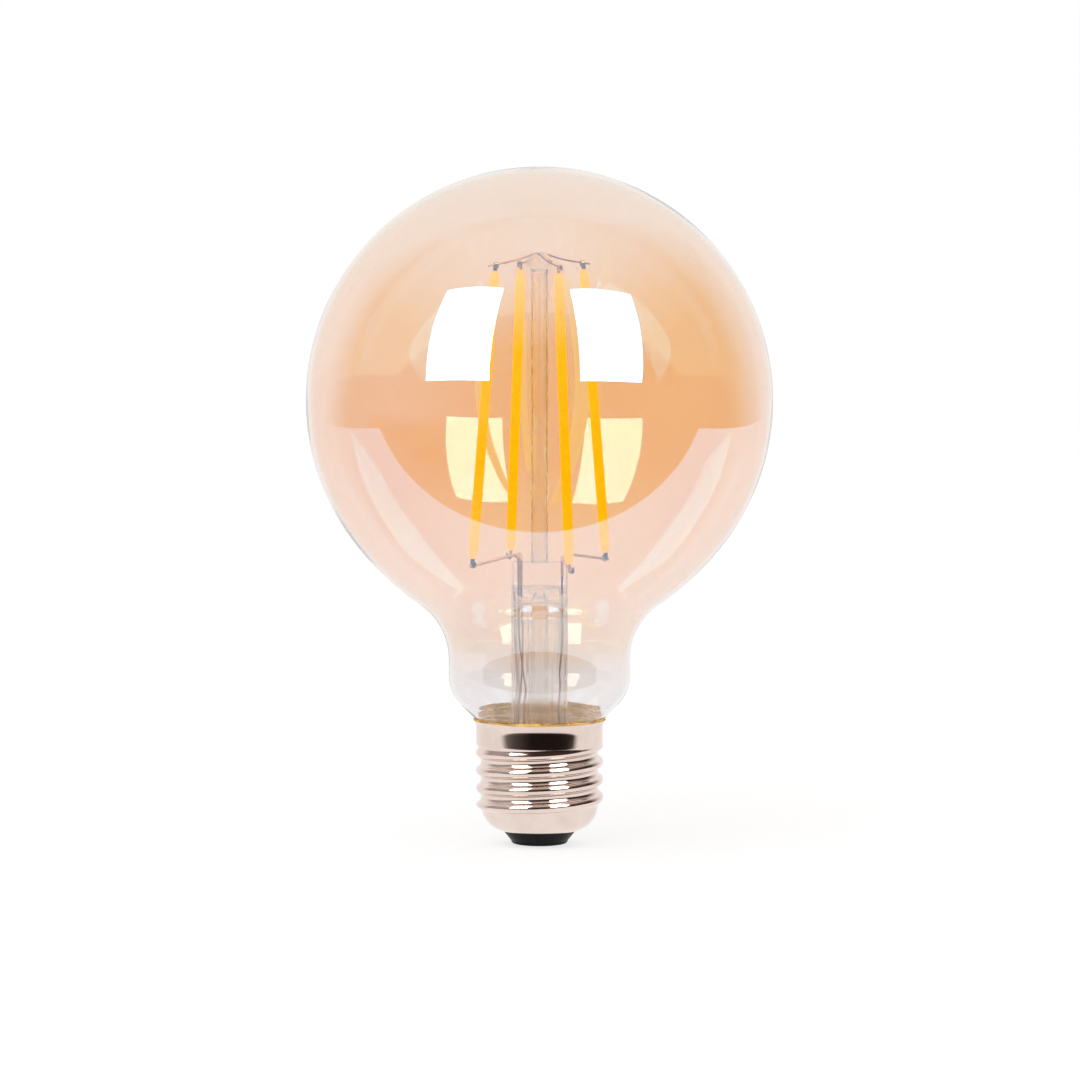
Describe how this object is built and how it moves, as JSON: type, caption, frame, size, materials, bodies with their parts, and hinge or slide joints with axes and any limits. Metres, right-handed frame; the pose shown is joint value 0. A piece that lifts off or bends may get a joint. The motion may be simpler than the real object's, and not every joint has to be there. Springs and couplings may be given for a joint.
{
  "type": "globe filament lamp",
  "caption": "Globe lamp of amber tinted clear glass with splayed yellow filaments on a glass stem and pole, a rolled nickel screw cap and a black insulator round the centre contact.",
  "frame": {"origin": "middle of the centre contact's underside, the lamp's lowest point as it stands cap down", "axes": "+Z along the lamp's axis from the cap up to the globe; the pictured side looks towards +Y, so -Y is the front and +X is to the right in the picture"},
  "size_m": [0.095, 0.095, 0.1384],
  "materials": {
    "amber_glass": "clear, lightly amber tinted, smooth",
    "clear_glass": "clear, drawn tube",
    "cement": "matt, yellow brown",
    "nickel_cap": "nickel plated, rolled sheet",
    "black_glass": "black, glossy",
    "tin": "tinned, dull shine",
    "tinned_wire": "tinned wire",
    "nickel_wire": "drawn nickel wire",
    "seal_wire": "reddish sealing wire",
    "copper": "bare copper wire",
    "clip_metal": "stamped plated sheet",
    "phosphor": "soft matt yellow phosphor coat",
    "strip_ceramic": "white ceramic strip",
    "resistor_coat": "dull lacquer",
    "capacitor_can": "dark sleeve over the can",
    "chip_resin": "moulded black resin",
    "board": "pale board"
  },
  "bodies": {
    "root": {"bridge_rectifier": "chip_resin", "cement_ring": "cement", "centre_contact": "tin", "centre_pole": "clear_glass", "contact_wire": "tinned_wire", "cross_arm_right": "nickel_wire", "driver_board": "board", "driver_chip": "chip_resin", "exhaust_tube": "clear_glass", "filament_foot_clip_1": "clip_metal", "filament_foot_clip_2": "clip_metal", "filament_foot_clip_3": "clip_metal", "filament_foot_clip_4": "clip_metal", "filament_strip_1": "strip_ceramic", "filament_strip_2": "strip_ceramic", "filament_strip_3": "strip_ceramic", "filament_strip_4": "strip_ceramic", "filament_top_clip_1": "clip_metal", "filament_top_clip_2": "clip_metal", "filament_top_clip_3": "clip_metal", "filament_top_clip_4": "clip_metal", "filter_capacitor": "capacitor_can", "fusible_resistor": "resistor_coat", "glass_globe": "amber_glass", "inner_lead_left_a": "nickel_wire", "inner_lead_left_b": "nickel_wire", "inner_lead_right": "nickel_wire", "insulator": "black_glass", "led_filament_1": "phosphor", "led_filament_2": "phosphor", "led_filament_3": "phosphor", "led_filament_4": "phosphor", "outer_lead_left_a": "copper", "outer_lead_left_b": "copper", "outer_lead_right": "copper", "rim_solder": "tin", "rim_wire": "tinned_wire", "screw_shell": "nickel_cap", "seal_wire_left_a": "seal_wire", "seal_wire_left_b": "seal_wire", "seal_wire_right": "seal_wire", "stem_flare": "clear_glass", "top_wire_inner": "nickel_wire", "top_wire_outer": "nickel_wire"}
  },
  "joints": []
}
